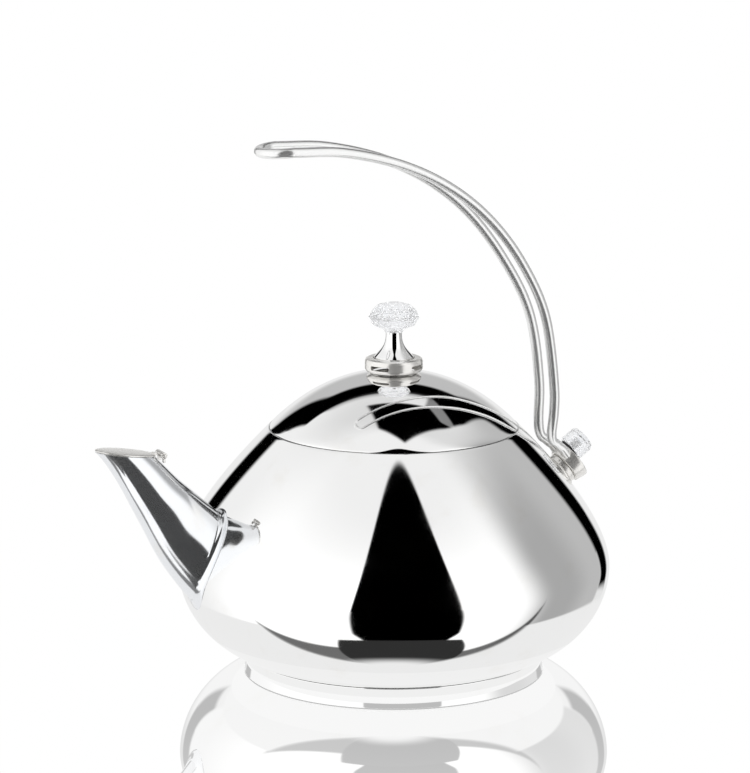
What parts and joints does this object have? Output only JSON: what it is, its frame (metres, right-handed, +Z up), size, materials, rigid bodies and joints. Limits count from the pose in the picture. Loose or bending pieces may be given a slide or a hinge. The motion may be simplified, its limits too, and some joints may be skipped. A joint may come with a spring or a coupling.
{
  "type": "teapot",
  "caption": "Low-bellied silver teapot with a short covered spout, lift-off lid with crystal knob and a hairpin handle rising from a rear bracket.",
  "frame": {"origin": "on the pot's turning axis, in the plane that the foot ring stands on", "axes": "+Z up along the turning axis, -X towards the spout, +X towards the handle bracket, Y across the pot"},
  "size_m": [0.2658, 0.2156, 0.2623],
  "materials": {
    "silver": "mirror-polished silver plate",
    "fixings": "plain bright steel",
    "crystal": "clear cut crystal",
    "gasket": "dark matt rubber"
  },
  "bodies": {
    "pot": {"body_shell": "silver", "foot_ring": "silver", "base_plate": "silver", "mouth_ring": "silver", "spout_shell": "silver", "spout_joint_ring": "silver", "hinge_lug_left": "silver", "hinge_lug_right": "silver", "hinge_pin": "silver", "handle_rod": "silver", "handle_collar": "silver", "bracket_saddle": "silver", "bracket_boss": "silver", "button_gasket": "gasket", "crystal_button": "crystal", "bracket_stud": "fixings", "bracket_washer": "fixings", "bracket_nut": "fixings"},
    "spout_flap": {"spout_cover": "silver"},
    "lid": {"lid_shell": "silver", "lid_skirt": "silver", "knob_cup": "silver", "knob_neck": "silver", "knob_crystal": "crystal", "knob_post": "fixings", "knob_washer": "fixings", "knob_nut": "fixings"}
  },
  "joints": [
    {"name": "lid_lift", "type": "slide", "parent": "pot", "child": "lid", "axis": [0, 0, 1], "range_m": [0, 0.05]},
    {"name": "spout_flap_hinge", "type": "hinge", "parent": "pot", "child": "spout_flap", "pos_m": [-0.1231, 0, 0.115], "axis": [0, 1, 0], "range_deg": [0, 100]}
  ]
}
